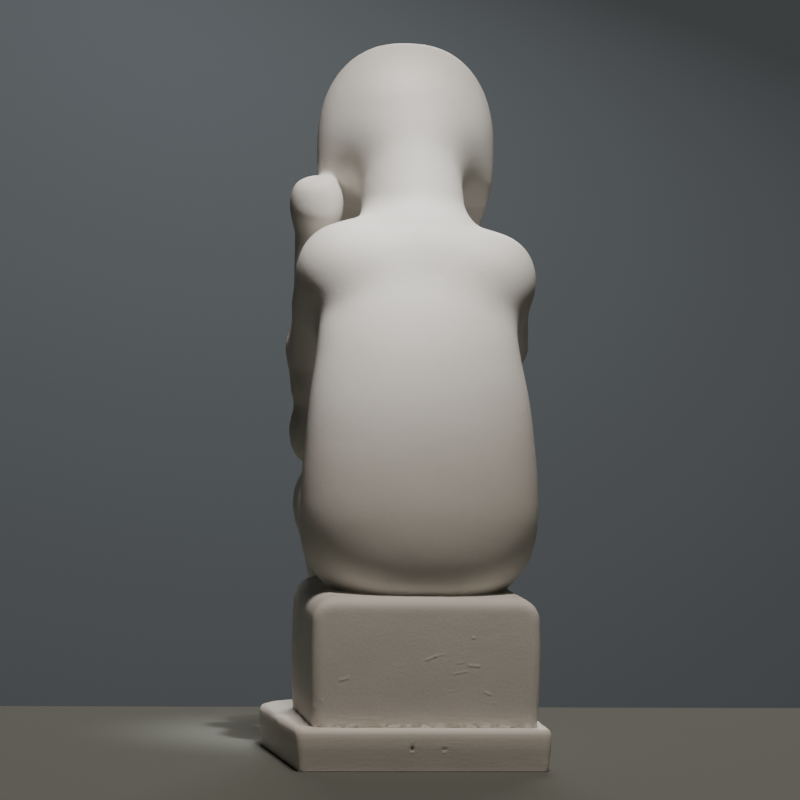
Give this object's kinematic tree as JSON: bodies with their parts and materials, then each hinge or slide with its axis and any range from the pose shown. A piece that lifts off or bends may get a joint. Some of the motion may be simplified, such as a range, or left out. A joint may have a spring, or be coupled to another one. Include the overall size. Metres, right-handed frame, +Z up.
{
  "type": "seated cycladic figurine",
  "caption": "Cast white stone figurine of a seated thinker on a block seat, with a thin plinth slab under it; a tabletop ornament.",
  "frame": {"origin": "centre of the plinth's underside", "axes": "+Z up through the figure's head, -Y the way the figure faces, +X towards the figure's left hand"},
  "size_m": [0.0758, 0.092, 0.2023],
  "materials": {
    "figure_stone": "smooth matte cast alabaster, hand rubbed",
    "plinth_stone": "smooth matte cast alabaster, saw-dressed sides"
  },
  "bodies": {
    "root": {"seated_figure": "figure_stone", "plinth": "plinth_stone"}
  },
  "joints": []
}
